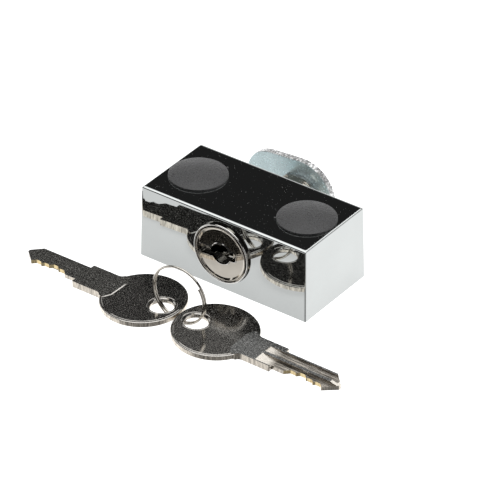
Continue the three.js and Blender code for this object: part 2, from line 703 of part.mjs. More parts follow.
// The keys lie with their bows raised on the ring and their tips on the surface. Both angles are
// in degrees: the first turns the key flat on the surface, the second about its own width.
function key(name, x, y, yaw, tilt) {
  const group = new THREE.Group();
  group.position.set(x, y, KEY_MIDDLE_HEIGHT);
  group.rotation.z = THREE.MathUtils.degToRad(yaw);
  const mesh = piece(name, keyShape(), KEY_NICKEL);
  mesh.rotation.y = THREE.MathUtils.degToRad(tilt);
  group.add(mesh);
  return group;
}

// Wire wound a little over one and a half turns, standing upright across the two holes.
class RingCoil extends THREE.Curve {
  getPoint(t, target = new THREE.Vector3()) {
    const start = THREE.MathUtils.degToRad(35);
    const sweep = THREE.MathUtils.degToRad(605);
    const pitch = 0.9;
    const angle = start - sweep * t;
    const across = (t - 0.5) * pitch * (sweep / (2 * Math.PI));
    return target.set(RING_RADIUS * Math.cos(angle), across, RING_RADIUS * Math.sin(angle));
  }
}

function keySet() {
  const group = new THREE.Group();
  const ring = piece('key_ring', wire(new RingCoil(), RING_WIRE_RADIUS, 80, 6), SPRING_STEEL);
  ring.position.copy(RING_CENTRE);
  group.add(ring);
  group.add(key('key_one', RING_CENTRE.x + KEY_SPREAD, -39.6, 1.2, KEY_TILT));
  group.add(key('key_two', RING_CENTRE.x - KEY_SPREAD, -39, -1.7, 180 - KEY_TILT));
  return group;
}

// ---- Assembly -----------------------------------------------------------------------------

const group = new THREE.Group();
group.add(housing());
group.add(holePlug('hole_plug_left', -SCREW_SPACING / 2, 60));
group.add(holePlug('hole_plug_right', SCREW_SPACING / 2, 216));
group.add(mountingScrew('mounting_screw_left', -SCREW_SPACING / 2));
group.add(mountingScrew('mounting_screw_right', SCREW_SPACING / 2));
group.add(lock());
group.add(keySet());

export default group;
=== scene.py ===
import math

import bmesh
import bpy
from mathutils import Matrix, Vector


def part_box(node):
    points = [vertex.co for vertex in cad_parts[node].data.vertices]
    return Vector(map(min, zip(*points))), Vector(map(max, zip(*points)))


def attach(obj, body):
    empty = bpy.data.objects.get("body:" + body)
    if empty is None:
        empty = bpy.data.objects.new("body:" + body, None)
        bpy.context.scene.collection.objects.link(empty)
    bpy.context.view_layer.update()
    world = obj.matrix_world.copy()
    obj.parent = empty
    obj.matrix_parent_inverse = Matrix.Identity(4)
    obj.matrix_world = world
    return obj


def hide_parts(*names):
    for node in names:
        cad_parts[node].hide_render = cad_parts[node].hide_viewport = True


# A keyed cam lock in a chromed block, with two keys on a ring, on a white surface.
# Shapes are drawn in millimetres in the CAD frame and shrunk to metres when a piece is added.

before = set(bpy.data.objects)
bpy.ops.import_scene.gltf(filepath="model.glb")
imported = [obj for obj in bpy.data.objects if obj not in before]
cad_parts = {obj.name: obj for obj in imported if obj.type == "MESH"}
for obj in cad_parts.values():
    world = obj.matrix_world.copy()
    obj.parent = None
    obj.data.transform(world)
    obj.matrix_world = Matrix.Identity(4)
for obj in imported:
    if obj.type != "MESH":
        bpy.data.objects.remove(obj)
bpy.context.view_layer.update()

MM = 0.001


def box_mm(node):
    low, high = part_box(node)
    return low / MM, high / MM


# ---- Mesh tools ---------------------------------------------------------------------------

def mesh_object(bm):
    bmesh.ops.recalc_face_normals(bm, faces=bm.faces)
    mesh = bpy.data.meshes.new("work")
    bm.to_mesh(mesh)
    bm.free()
    obj = bpy.data.objects.new("work", mesh)
    bpy.context.scene.collection.objects.link(obj)
    return obj


def spot(u, v, height, along):
    """A point at u, v across the axis and height along it. Seen from -Y, v is up for along='Y'."""
    return (u, height, v) if along == "Y" else (u, v, height)


def turned(profile, segments, along="Z"):
    """A round solid from (radius, height) pairs; it starts and ends on the axis or closes on itself."""
    bm = bmesh.new()
    rings = []
    for radius, height in profile:
        if radius == 0:
            rings.append([bm.verts.new(spot(0, 0, height, along))])
            continue
        ring = []
        for i in range(segments):
            angle = 2 * math.pi * i / segments
            ring.append(bm.verts.new(
                spot(radius * math.cos(angle), radius * math.sin(angle), height, along)))
        rings.append(ring)
    closed = profile[0][0] > 0
    pairs = list(zip(rings, rings[1:])) + ([(rings[-1], rings[0])] if closed else [])
    for a, b in pairs:
        for i in range(segments):
            j = (i + 1) % segments
            if len(a) == 1:
                bm.faces.new((a[0], b[i], b[j]))
            elif len(b) == 1:
                bm.faces.new((a[i], a[j], b[0]))
            else:
                bm.faces.new((a[i], a[j], b[j], b[i]))
    return mesh_object(bm)


def stack(levels, along="Z"):
    """A closed solid through outlines with equal numbers of points, given as (outline, height)."""
    bm = bmesh.new()
    rings = []
    for outline, height in levels:
        rings.append([bm.verts.new(spot(u, v, height, along)) for u, v in outline])
    count = len(rings[0])
    for a, b in zip(rings, rings[1:]):
        for i in range(count):
            j = (i + 1) % count
            bm.faces.new((a[i], a[j], b[j], b[i]))
    bm.faces.new(rings[0])
    bm.faces.new(rings[-1])
    return mesh_object(bm)


def prism(outline, low, high, along="Z"):
    return stack([(outline, low), (outline, high)], along)


def cuboid(low, high):
    (x0, y0, z0), (x1, y1, z1) = low, high
    return prism([(x0, y0), (x1, y0), (x1, y1), (x0, y1)], z0, z1)


def arc(cx, cy, radius, start, end, steps):
    """Points of an arc, with angles in degrees."""
    points = []
    for i in range(steps + 1):
        angle = math.radians(start + (end - start) * i / steps)
        points.append((cx + radius * math.cos(angle), cy + radius * math.sin(angle)))
    return points


def rounded_rectangle(half_width, half_height, radius, steps):
    x, y = half_width - radius, half_height - radius
    outline = arc(x, y, radius, 0, 90, steps) + arc(-x, y, radius, 90, 180, steps)
    outline += arc(-x, -y, radius, 180, 270, steps) + arc(x, -y, radius, 270, 360, steps)
    return outline


def bake(obj):
    """Turns an object's modifiers into plain mesh."""
    depsgraph = bpy.context.evaluated_depsgraph_get()
    mesh = bpy.data.meshes.new_from_object(obj.evaluated_get(depsgraph))
    obj.modifiers.clear()
    obj.data = mesh


def combine(target, operation, *tools):
    for tool in tools:
        modifier = target.modifiers.new("combine", "BOOLEAN")
        modifier.operation = operation
        modifier.solver = "EXACT"
        modifier.object = tool
        bake(target)
        bpy.data.objects.remove(tool)
    return target


def cut(target, *tools):
    return combine(target, "DIFFERENCE", *tools)


def join(target, *tools):
    return combine(target, "UNION", *tools)


def within(target, tool):
    return combine(target, "INTERSECT", tool)


def moved(obj, matrix):
    obj.data.transform(matrix)
    return obj


def turn(angle, axis):
    return Matrix.Rotation(math.radians(angle), 4, axis)


def smooth(obj, sharp_angle=32):
    mesh = obj.data
    mesh.polygons.foreach_set("use_smooth", [True] * len(mesh.polygons))
    mesh.set_sharp_from_angle(angle=math.radians(sharp_angle))


def soften(obj, width):
    """Small rounded edges, with flat faces that still reflect as flat."""
    if width:
        bevel = obj.modifiers.new("edges", "BEVEL")
        bevel.width = width * MM
        bevel.segments = 2
        bevel.limit_method = "ANGLE"
        bevel.angle_limit = math.radians(38)
        bevel.harden_normals = False
    normals = obj.modifiers.new("normals", "WEIGHTED_NORMAL")
    normals.keep_sharp = True
    normals.weight = 100


def add_piece(obj, name, body, materials, node, edge=0.0, sharp_angle=32):
    """Names a finished shape, brings it to metres and puts it on its body in the CAD node's place."""
    obj.name = name
    obj.data.name = name
    obj.data.transform(Matrix.Scale(MM, 4))
    for material in materials:
        obj.data.materials.append(material)
    smooth(obj, sharp_angle)
    soften(obj, edge)
    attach(obj, body)
    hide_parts(node)


def keep_node(name, material, edge=0.08):
    """A CAD part that is already right: its flat faces are joined up, and its edges softened."""
    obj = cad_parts[name]
    obj.data.materials.clear()
    obj.data.materials.append(material)
    smooth(obj)
    merge = obj.modifiers.new("flat_faces", "DECIMATE")
    merge.decimate_type = "DISSOLVE"
    merge.angle_limit = math.radians(1)
    soften(obj, edge)


# ---- Material tools -----------------------------------------------------------------------

def add_node(tree, kind, inputs=None, **settings):
    node = tree.nodes.new(kind)
    for key, value in settings.items():
        setattr(node, key, value)
    for key, value in (inputs or {}).items():
        if isinstance(value, bpy.types.NodeSocket):
            tree.links.new(value, node.inputs[key])
        else:
            node.inputs[key].default_value = value
    return node


def math_node(tree, operation, first, second, clamp=False):
    node = add_node(tree, "ShaderNodeMath", {0: first, 1: second}, operation=operation)
    node.use_clamp = clamp
    return node.outputs[0]


def noise(tree, vector, scale, detail):
    inputs = {"Vector": vector, "Scale": scale, "Detail": detail}
    return add_node(tree, "ShaderNodeTexNoise", inputs).outputs["Fac"]


def ramp(tree, value, low, high):
    """0 below low, 1 above high, and an even climb between."""
    inputs = {"Value": value, "From Min": low, "From Max": high}
    node = add_node(tree, "ShaderNodeMapRange", inputs)
    node.clamp = True
    return node.outputs["Result"]


def mix_color(tree, factor, first, second):
    node = add_node(tree, "ShaderNodeMix", data_type="RGBA")
    for index, value in ((0, factor), (6, first), (7, second)):
        if isinstance(value, bpy.types.NodeSocket):
            tree.links.new(value, node.inputs[index])
        elif index:
            node.inputs[index].default_value = (*value, 1)
        else:
            node.inputs[index].default_value = value
    return node.outputs[2]


def bump(tree, height, distance, below=None):
    inputs = {"Height": height, "Distance": distance * MM, "Strength": 1.0}
    if below is not None:
        inputs["Normal"] = below
    return add_node(tree, "ShaderNodeBump", inputs).outputs["Normal"]


def finish(name, color, roughness, mottle, mottle_size, spread, spread_size=0.5, metallic=1.0,
           grain=0.0, grain_size=0.5, wave=0.0, wave_size=9.0, stretch=(1, 1, 1),
           specks=0.0, speck_color=(0.5, 0.5, 0.5), speck_size=0.3):
    """A metal or plastic whose colour, gloss and surface vary; sizes are in millimetres.

    Mottle and spread say how far the colour and the roughness vary. Wave and grain are the depths
    of broad and of fine bumps. Specks are small dull dots, and a higher number shows more of them.
    """
    material = bpy.data.materials.new(name)
    material.use_nodes = True
    tree = material.node_tree
    shader = tree.nodes["Principled BSDF"]
    place = add_node(tree, "ShaderNodeTexCoord").outputs["Object"]
    mapped = add_node(
        tree, "ShaderNodeMapping", {"Vector": place, "Scale": stretch}).outputs["Vector"]
    tone = noise(tree, mapped, 1 / (mottle_size * MM), 4.0)
    tone = ramp(tree, tone, 0.35, 0.65)
    darker = tuple(c * (1 - mottle) for c in color)
    lighter = tuple(min(1.0, c * (1 + mottle)) for c in color)
    base = mix_color(tree, tone, darker, lighter)
    gloss = noise(tree, mapped, 1 / (spread_size * MM), 3.0)
    gloss = ramp(tree, gloss, 0.3, 0.7)
    gloss = math_node(tree, "MULTIPLY", gloss, spread)
    gloss = math_node(tree, "ADD", gloss, roughness)
    shader.inputs["Metallic"].default_value = metallic
    if specks:
        threshold, fade = 0.8 - specks, 0.04
        speck_roughness, metal_loss = 0.6, 0.8
        dots = noise(tree, place, 1 / (speck_size * MM), 1.0)
        dots = ramp(tree, dots, threshold, threshold + fade)
        base = mix_color(tree, dots, base, speck_color)
        gloss = math_node(tree, "MAXIMUM", gloss, math_node(tree, "MULTIPLY", dots, speck_roughness))
        loss = math_node(tree, "MULTIPLY", dots, metal_loss)
        metal = math_node(tree, "SUBTRACT", metallic, loss)
        tree.links.new(metal, shader.inputs["Metallic"])
    tree.links.new(base, shader.inputs["Base Color"])
    tree.links.new(gloss, shader.inputs["Roughness"])
    normal = None
    if wave:
        normal = bump(tree, noise(tree, place, 1 / (wave_size * MM), 1.0), wave)
    if grain:
        normal = bump(tree, noise(tree, mapped, 1 / (grain_size * MM), 3.0), grain, normal)
    if normal is not None:
        tree.links.new(normal, shader.inputs["Normal"])
    return material


# ---- Materials ----------------------------------------------------------------------------

chrome = finish("chrome_block", (0.575, 0.595, 0.59), 0.012, mottle=0.015, mottle_size=14,
                spread=0.02, spread_size=5, wave=0.016, wave_size=9, specks=0.035,
                speck_color=(0.5, 0.5, 0.5), speck_size=0.3)
nickel = finish("lock_nickel", (0.53, 0.495, 0.44), 0.02, mottle=0.03, mottle_size=4,
                spread=0.03, spread_size=2, wave=0.012, wave_size=6)
plastic = finish("cover_plastic", (0.014, 0.014, 0.015), 0.24, metallic=0.0, mottle=0.8,
                 mottle_size=0.5, spread=0.2, spread_size=0.5, grain=0.26, grain_size=0.6)
plastic_shader = plastic.node_tree.nodes["Principled BSDF"]
plastic_shader.inputs["IOR"].default_value = 1.65  # a little glossier than the usual 1.5
steel = finish("plated_steel", (0.5, 0.5, 0.49), 0.25, mottle=0.1, mottle_size=1.5,
               spread=0.15, grain=0.01, grain_size=0.3)
bright_nickel = finish("bright_nickel", (0.8, 0.785, 0.76), 0.04, mottle=0.05, mottle_size=2,
                       spread=0.05, spread_size=1, grain=0.002, grain_size=0.6)
wire_steel = finish("ring_wire", (0.62, 0.59, 0.54), 0.08, mottle=0.15, mottle_size=1,
                    spread=0.12, spread_size=0.6, grain=0.01, grain_size=0.5)
blue_zinc = finish("blue_zinc", (0.74, 0.87, 0.9), 0.2, metallic=0.5, mottle=0.06,
                   mottle_size=1.5, spread=0.1, spread_size=0.8, grain=0.004, grain_size=0.35)
sheared_zinc = finish("sheared_zinc", (0.6, 0.62, 0.62), 0.25, metallic=0.9, mottle=0.7,
                      mottle_size=0.6, spread=0.3, spread_size=0.5, grain=0.06, grain_size=0.5,
                      stretch=(1, 0.5, 1))
polished_casting = finish("polished_casting", (0.5, 0.49, 0.46), 0.07, mottle=0.1, mottle_size=1,
                          spread=0.08, grain=0.004, grain_size=0.5)
wafer_brass = finish("wafer_brass", (0.62, 0.43, 0.16), 0.28, mottle=0.12, mottle_size=0.8,
                     spread=0.2, grain=0.01, grain_size=0.3, stretch=(0.3, 1, 1))
spring_wire = finish("spring_wire", (0.45, 0.45, 0.44), 0.2, mottle=0.1, mottle_size=0.6,
                     spread=0.1)
key_face = finish("key_bow", (0.5, 0.48, 0.45), 0.05, mottle=0.12, mottle_size=0.4,
                  spread=0.12, spread_size=0.25, specks=0.18,
                  speck_color=(0.19, 0.185, 0.17), speck_size=0.24)
matte_key = finish("key_blade_matte", (0.19, 0.19, 0.185), 0.22, mottle=0.3, mottle_size=0.6,
                   spread=0.1, spread_size=0.5, grain=0.02, grain_size=0.5, specks=0.22,
                   speck_color=(0.3, 0.3, 0.29), speck_size=0.4)
worn_key = finish("key_blade_worn", (0.42, 0.41, 0.38), 0.08, mottle=0.2, mottle_size=0.4,
                  spread=0.14, spread_size=0.25, specks=0.19,
                  speck_color=(0.2, 0.195, 0.18), speck_size=0.24)
key_edge = finish("key_edge", (0.62, 0.57, 0.5), 0.16, mottle=0.4, mottle_size=0.5,
                  spread=0.15, spread_size=0.5, grain=0.02, grain_size=0.5,
                  stretch=(1, 1, 0.12))
key_cut = finish("key_cut_brass", (0.85, 0.66, 0.38), 0.14, mottle=0.25, mottle_size=0.5,
                 spread=0.15, grain=0.01, grain_size=0.3, stretch=(1, 1, 0.15))
key_groove = finish("key_groove", (0.36, 0.33, 0.29), 0.18, metallic=0.95, mottle=0.7,
                    mottle_size=0.4, spread=0.25, spread_size=0.3, grain=0.05, grain_size=0.35,
                    stretch=(0.05, 1, 1))


def paint_run_out_highlight(material, color):
    """Where the milling cutter ran out, the surface slopes towards the tip. There its colour is
    lightened and made less metallic, a painted highlight.
    """
    flattest, steepest = 0.05, 0.15  # how far the surface faces along the blade
    metallic, loss = 0.95, 0.5
    tree = material.node_tree
    shader = tree.nodes["Principled BSDF"]
    facing = add_node(tree, "ShaderNodeTexCoord").outputs["Normal"]
    slope = add_node(tree, "ShaderNodeSeparateXYZ", {0: facing}).outputs["X"]
    # painted highlight: lighter, less metallic colour where the surface slopes towards the blade's tip
    run_out_highlight_mask = ramp(tree, slope, flattest, steepest)
    old = shader.inputs["Base Color"].links[0].from_socket
    tree.links.new(mix_color(tree, run_out_highlight_mask, old, color), shader.inputs["Base Color"])
    metal = math_node(tree, "SUBTRACT", metallic, math_node(tree, "MULTIPLY", run_out_highlight_mask, loss))
    tree.links.new(metal, shader.inputs["Metallic"])


# painted highlight on the grooves' sloping run-outs
paint_run_out_highlight(key_groove, (0.85, 0.8, 0.72))


# ---- Block --------------------------------------------------------------------------------

BLOCK_LENGTH = 63.5  # the length that sets the whole size
block_high = box_mm("housing")[1]
HEIGHT = block_high.z
DRAFT = 0.54  # how far each side leans out from the top to the bottom
HALF_LENGTH = block_high.x - DRAFT
HALF_DEPTH = block_high.y - DRAFT
EDGE_RADIUS = 0.55
CORNER_RADIUS = 0.3
CORNER_ROLL = 0.5  # polishing has rolled the faces off a little next to each upright corner
TOP_ROLL = 0.9  # and next to the long top edges
ROLL_ANGLE = 7

barrel_low, barrel_high = box_mm("lock_barrel")
AXIS_HEIGHT = (barrel_low.z + barrel_high.z) / 2
FLANGE_RADIUS = (barrel_high.z - barrel_low.z) / 2
FLANGE_PROUD = 1.0
FACE = barrel_low.y + FLANGE_PROUD  # the block's front face at the axis
BACK = -FACE
FLANGE_SEAT = FACE + 2
BARREL_RADIUS = 7.95
BARREL_FLAT = 7.1
BARREL_END = FACE + 40.5
BORE_RADIUS = 6.8
CLEARANCE = 0.15  # round the barrel, in the block and in the nut
SCREW_X = 21.1
REST_ANGLE = -4.5  # how the plug and cam stand when locked, about +Y
UP_TO_AXIS = Matrix.Translation((0, 0, AXIS_HEIGHT))


def corner_offsets():
    """From one side to the next past a square corner: a slow roll, a tight bend, a slow roll."""
    slow_steps, tight_steps = 4, 6
    slow = [(ROLL_ANGLE / slow_steps, CORNER_ROLL / slow_steps)] * slow_steps
    bend = (90 - 2 * ROLL_ANGLE) / tight_steps
    tight = [(bend, CORNER_RADIUS * math.radians(bend))] * tight_steps
    heading, x, y = 90.0, 0.0, 0.0
    points = [(x, y)]
    for angle, length in slow + tight + slow:
        middle = math.radians(heading + angle / 2)
        heading += angle
        x += length * math.cos(middle)
        y += length * math.sin(middle)
        points.append((x, y))
    return [(px, py - y) for px, py in points]


def block_outline(half_x, half_y):
    outline = []
    for turns, (side_x, side_y) in enumerate(((1, 1), (-1, 1), (-1, -1), (1, -1))):
        for dx, dy in corner_offsets():
            for _ in range(turns):
                dx, dy = -dy, dx
            outline.append((side_x * half_x + dx, side_y * half_y + dy))
    return outline


def top_edge_levels():
    """(inset from each end, inset from front and back, height): a tight round, then a slow roll."""
    tight_steps, slow_steps = 6, 5
    end_share = 0.12  # the short edges at the ends are rolled much less than the long ones
    roll = math.radians(ROLL_ANGLE)
    bend = TOP_ROLL / math.sin(roll)
    base = HEIGHT - bend * (1 - math.cos(roll)) - EDGE_RADIUS * math.cos(roll)
    levels = []
    for i in range(tight_steps + 1):
        angle = (math.pi / 2 - roll) * i / tight_steps
        inset = EDGE_RADIUS * (1 - math.cos(angle))
        levels.append((inset, inset, base + EDGE_RADIUS * math.sin(angle)))
    for i in range(1, slow_steps + 1):
        angle = roll * (1 - i / slow_steps)
        across = bend * (math.sin(roll) - math.sin(angle))
        height = HEIGHT - bend * (1 - math.cos(angle))
        levels.append((inset + across * end_share, inset + across, height))
    return levels


def block_body():
    """The draughted outside with its rounded top edge and corners."""
    levels = []
    for inset_x, inset_y, z in [(0, 0, 0), (0, 0, HEIGHT / 2)] + top_edge_levels():
        lean = DRAFT * (1 - z / HEIGHT)
        outline = block_outline(HALF_LENGTH + lean - inset_x, HALF_DEPTH + lean - inset_y)
        levels.append((outline, z))
    return stack(levels)


def double_d(radius, flat):
    """A circle with its top and bottom cut flat."""
    reach = math.degrees(math.asin(flat / radius))
    return arc(0, 0, radius, -reach, reach, 24) + arc(0, 0, radius, 180 - reach, 180 + reach, 24)


def make_block():
    """The body, bored through for the barrel, pocketed for its flange, and bored for two screws."""
    pocket_gap, past = 0.12, 5
    screw_radius, counterbore_radius, counterbore_floor = 2.6, 8.1, 5
    body = block_body()
    hole = prism(double_d(BARREL_RADIUS + CLEARANCE, BARREL_FLAT + CLEARANCE), FACE - past,
                 BACK + past, "Y")
    pocket_radius, pocket_floor = FLANGE_RADIUS + pocket_gap, FLANGE_SEAT + 0.1
    pocket = turned(
        [(0, FACE - past), (pocket_radius, FACE - past), (pocket_radius, pocket_floor),
         (0, pocket_floor)], 96, "Y")
    tools = [moved(hole, UP_TO_AXIS), moved(pocket, UP_TO_AXIS)]
    for side in (-1, 1):
        bore = turned(
            [(0, -1), (screw_radius, -1), (screw_radius, counterbore_floor),
             (counterbore_radius, counterbore_floor), (counterbore_radius, HEIGHT + 1),
             (0, HEIGHT + 1)], 64)
        tools.append(moved(bore, Matrix.Translation((side * SCREW_X, 0, 0))))
    cut(body, *tools)
    add_piece(body, "chromed_block", "block", [chrome], "housing")


# ---- Covers over the screw holes ----------------------------------------------------------

def make_cover(name, node, x, nib_angle):
    """A crowned disc on a slotted skirt that snaps into the hole, with a moulding nib on its rim."""
    top = box_mm(node)[1].z
    crown, rim, radius = 2.0, 0.7, 9.65
    skirt, snap, skirt_end, inside = 7.7, 7.95, 7.1, 6.5
    slot_half, nib_half = 0.8, 0.35
    seat = top - crown  # the block's top face
    base = seat + 0.04
    bottom, ceiling = seat - 5, seat - 0.8
    profile = []
    steps = 14
    for i in range(steps + 1):
        across = i / steps
        profile.append((across * (radius - 0.25), top - (crown - rim) * across ** 2))
    profile += [(radius - 0.08, seat + rim - 0.08), (radius, seat + rim - 0.3),
                (radius, base + 0.1), (radius - 0.1, base), (skirt, base), (skirt, seat - 3.7),
                (snap, seat - 4.1), (skirt_end, bottom), (inside, bottom), (inside, ceiling),
                (0, ceiling)]
    cover = turned(profile, 96)
    for i in range(3):
        slot = cuboid((-10, -slot_half, bottom - 1), (10, slot_half, seat - 1))
        cut(cover, moved(slot, turn(60 * i + 15, "Z")))
    nib = cuboid((radius - 0.4, -nib_half, base), (radius + 0.7, nib_half, seat + 0.5))
    join(cover, moved(nib, turn(nib_angle, "Z")))
    moved(cover, Matrix.Translation((x, 0, 0)))
    add_piece(cover, name, "block", [plastic], node, edge=0.05)


# ---- Lock ---------------------------------------------------------------------------------

def threaded_tube():
    """The barrel's outside with a real helical thread where it stands out behind the block."""
    pitch, depth = 1.06, 0.45
    crest, root = BARREL_RADIUS, BARREL_RADIUS - depth
    start, end = BACK + 3.2, BARREL_END - 0.4
    segments, rows_per_turn = 96, 10
    rows = int((end - start) / pitch * rows_per_turn)
    heights = [FLANGE_SEAT, (FLANGE_SEAT + start) / 2, start - 0.01]
    heights += [start + (end - start) * i / rows for i in range(rows + 1)]
    bm = bmesh.new()

    def thread_radius(part, y):
        """The radius part of the way round: one ridge, which climbs by a pitch in each turn."""
        if y < start:
            return crest
        phase = (y / pitch - part) % 1.0
        ridge = min(1.0, max(0.0, abs(2 * phase - 1) * 1.5 - 0.25))
        return root + (crest - root) * ridge

    def ring(y, radii):
        points = []
        for i, radius in enumerate(radii):
            angle = 2 * math.pi * i / segments
            points.append(bm.verts.new((radius * math.cos(angle), y, radius * math.sin(angle))))
        return points

    rings = [ring(y, [thread_radius(i / segments, y) for i in range(segments)]) for y in heights]
    for radius, y in ((root, BARREL_END), (BORE_RADIUS, BARREL_END), (BORE_RADIUS, FLANGE_SEAT)):
        rings.append(ring(y, [radius] * segments))
    for a, b in zip(rings, rings[1:] + rings[:1]):
        for i in range(segments):
            j = (i + 1) % segments
            bm.faces.new((a[i], a[j], b[j], b[i]))
    return mesh_object(bm)


def rolled_rim(middle, front, bead):
    """Points over a half-round rim, from its inner side to its outer side."""
    points = []
    for angle in range(180, -1, -15):
        reach = math.radians(angle)
        points.append((middle + bead * math.cos(reach), front + bead * (1 - math.sin(reach))))
    return points


def make_barrel():
    """The threaded tube, the flange in front of it, and the wall at its rear that stops the plug."""
    tube = threaded_tube()
    within(tube, cuboid((-20, FLANGE_SEAT - 1, -BARREL_FLAT), (20, BARREL_END + 1, BARREL_FLAT)))
    mouth, mouth_floor = 9.9, FACE + 1.4
    bead = (FLANGE_RADIUS - mouth) / 2
    neck = BARREL_RADIUS - 0.9
    overlap = 0.2
    profile = [(BORE_RADIUS, FLANGE_SEAT + overlap), (BORE_RADIUS, mouth_floor), (mouth, mouth_floor)]
    profile += rolled_rim(mouth + bead, FACE - FLANGE_PROUD, bead)
    profile += [(FLANGE_RADIUS, FLANGE_SEAT), (neck, FLANGE_SEAT), (neck, FLANGE_SEAT + overlap)]
    flange = turned(profile, 128, "Y")
    wall_inside, wall_outside, stop_height = 7.15, 7.9, 3.6
    wall_low, wall_high = BARREL_END - 1, FACE + 41.85
    wall = turned([(wall_inside, wall_low), (wall_outside, wall_low), (wall_outside, wall_high),
                   (wall_inside, wall_high)], 96, "Y")
    within(wall, cuboid((-10, wall_low - 1, -BARREL_FLAT), (10, wall_high + 1, BARREL_FLAT)))
    lower_part = cuboid((-10, wall_low - 2, -10), (10, wall_high + 2, stop_height))
    within(wall, moved(lower_part, turn(REST_ANGLE, "Y")))
    join(tube, flange, wall)
    groove_reach, groove_half, groove_spare = 7.45, 2.5, 0.75
    first = box_mm("wafer_1")[0].y - groove_spare
    last = box_mm("wafer_5")[1].y + groove_spare
    wafer_groove = cuboid((-groove_reach, first, -groove_half), (groove_reach, last, groove_half))
    cut(tube, moved(wafer_groove, turn(REST_ANGLE, "Y")))
    for polygon in tube.data.polygons:
        polygon.material_index = int(polygon.center.y < FACE - FLANGE_PROUD / 2)
    moved(tube, UP_TO_AXIS)
    add_piece(tube, "lock_cylinder_body", "block", [nickel, bright_nickel],
              "lock_barrel")


def make_nut():
    """A hexagon with its corners turned off on both faces and a lead into its hole."""
    low, high = box_mm("barrel_nut")
    front, back = low.y, high.y
    corner = (high.z - low.z) / math.sqrt(3)
    chamfer, lead = 0.45, 0.4
    hexagon = prism(arc(0, 0, corner, 0, 300, 5), front, back, "Y")
    dome = turned(
        [(0, front), (corner - 3 * chamfer, front), (corner + 0.1, front + chamfer),
         (corner + 0.1, back - chamfer), (corner - 3 * chamfer, back), (0, back)], 96, "Y")
    within(hexagon, dome)
    radius = BARREL_RADIUS + CLEARANCE
    wide = radius + lead
    hole = turned(
        [(0, front - 1), (wide, front - 1), (wide, front), (radius, front + lead),
         (radius, back - lead), (wide, back), (wide, back + 1), (0, back + 1)], 96, "Y")
    cut(hexagon, hole)
    moved(hexagon, UP_TO_AXIS)
    add_piece(hexagon, "clamping_nut", "block", [blue_zinc], "barrel_nut", edge=0.1)


def keyhole(larger, smaller, y0, y1):
    """A solid in the keyhole's outline, larger all round by one amount at y0 and another at y1.

    The outline is a level slot, longer to the left of the axis than to the right, and a round hole.
    """
    left_end, right_end, half_height, corner = -8.35, 5.65, 1.65, 0.9
    hole_radius, overlap = 3.65, 0.01
    levels = []
    for extra, y in ((larger, y0), (smaller, y1)):
        half_length = (right_end - left_end) / 2 + extra
        outline = rounded_rectangle(half_length, half_height + extra, corner + extra, 6)
        levels.append((outline, y))
    slot = moved(stack(levels, "Y"), Matrix.Translation(((left_end + right_end) / 2, 0, 0)))
    ring = turned([(0, y0 - overlap), (hole_radius + larger, y0 - overlap),
                   (hole_radius + smaller, y1 + overlap), (0, y1 + overlap)], 96, "Y")
    return join(slot, ring)


def make_cap():
    """Polished cap over the plug's head: a rolled rim, and a thin raised lip round the keyhole."""
    low, high = box_mm("face_cap")
    front, end = low.y, high.y
    outside, inside, bead, thickness = 9.5, 9.35, 0.2, 0.4
    lip, lip_width = 0.2, 0.45
    face = front + 0.45  # set back behind the rolled rim
    back = face + thickness
    middle = outside - bead
    profile = [(0, face), (middle - bead - 0.55, face), (middle - bead - 0.4, face - 0.07)]
    profile += rolled_rim(middle, front, bead)
    profile += [(outside, end), (inside, end), (inside, back), (0, back)]
    cap = turned(profile, 128, "Y")
    join(cap, keyhole(lip_width * 0.3, lip_width, face - lip, face + 0.1))
    cut(cap, keyhole(0, 0, face - 1, face + 2))
    widest_lip = 8.5
    for polygon in cap.data.polygons:
        x, y, z = polygon.center
        polygon.material_index = int(math.hypot(x, z) < widest_lip and y < face - 0.01)
    moved(cap, UP_TO_AXIS @ turn(REST_ANGLE, "Y"))
    add_piece(cap, "polished_face_cap", "turning_plug", [nickel, bright_nickel],
              "face_cap", sharp_angle=16)


def cam_outline():
    """Round about the axis, with nearly straight sides to a broad rounded tip."""
    radius, corner, offset, reach = 12.0, 9.5, 2.5, 20.8
    tip = corner - reach
    toward = math.degrees(math.atan2(offset, tip))
    tangent = toward - math.degrees(math.acos((radius - corner) / math.hypot(tip, offset)))
    outline = arc(0, 0, radius, -tangent, tangent, 48)
    outline += arc(tip, offset, corner, tangent, 180, 12)
    outline += arc(tip, -offset, corner, 180, 360 - tangent, 12)
    return outline


def make_cam():
    """A plate with plated faces, a sheared edge and a square hole for the plug's tail."""
    low, high = box_mm("cam")
    plate = prism(cam_outline(), low.y, high.y, "Y")
    half = 3.4
    hole = prism([(-half, -half), (half, -half), (half, half), (-half, half)],
                 low.y - 1, high.y + 1, "Y")
    cut(plate, hole)
    for polygon in plate.data.polygons:
        polygon.material_index = int(abs(polygon.normal.y) <= 0.5)
    moved(plate, UP_TO_AXIS @ turn(REST_ANGLE, "Y"))
    add_piece(plate, "zinc_cam", "turning_plug", [blue_zinc, sheared_zinc], "cam",
              edge=0.18)


# ---- Keys and ring ------------------------------------------------------------------------

# A key is drawn about its bow's centre, with its blade along +X, its cut edge on the -Y side and
# its milled face up.
BOW_RADIUS = 14.0
THICKNESS = 2.2
HALF = THICKNESS / 2
BOW_FLOOR = HALF - 0.1  # the coined faces of the bow lie a little below the blade's
BLADE_LINE = -0.4  # the blade's centreline, across from the bow's centre
SHOULDER = 5.5  # half the shoulder's width
STOPS = 24.2  # where the shoulder ends and the blade begins
BLADE = 3.9  # half the blade's width
REACH = 46.6  # the blade's tip
CUTS = (1.6, 2.3, 1.45, 1.3)  # depths, from the bow towards the tip
FIRST_CUT = 6.7
CUT_PITCH = 3.1
CUT_HALF = 0.85
MILLING_START = 18.7
HOLE_OFFSET = 7.34
HOLE_RADIUS = 3.8
NECK = 9.1  # where the blade's thickness begins, over the bow


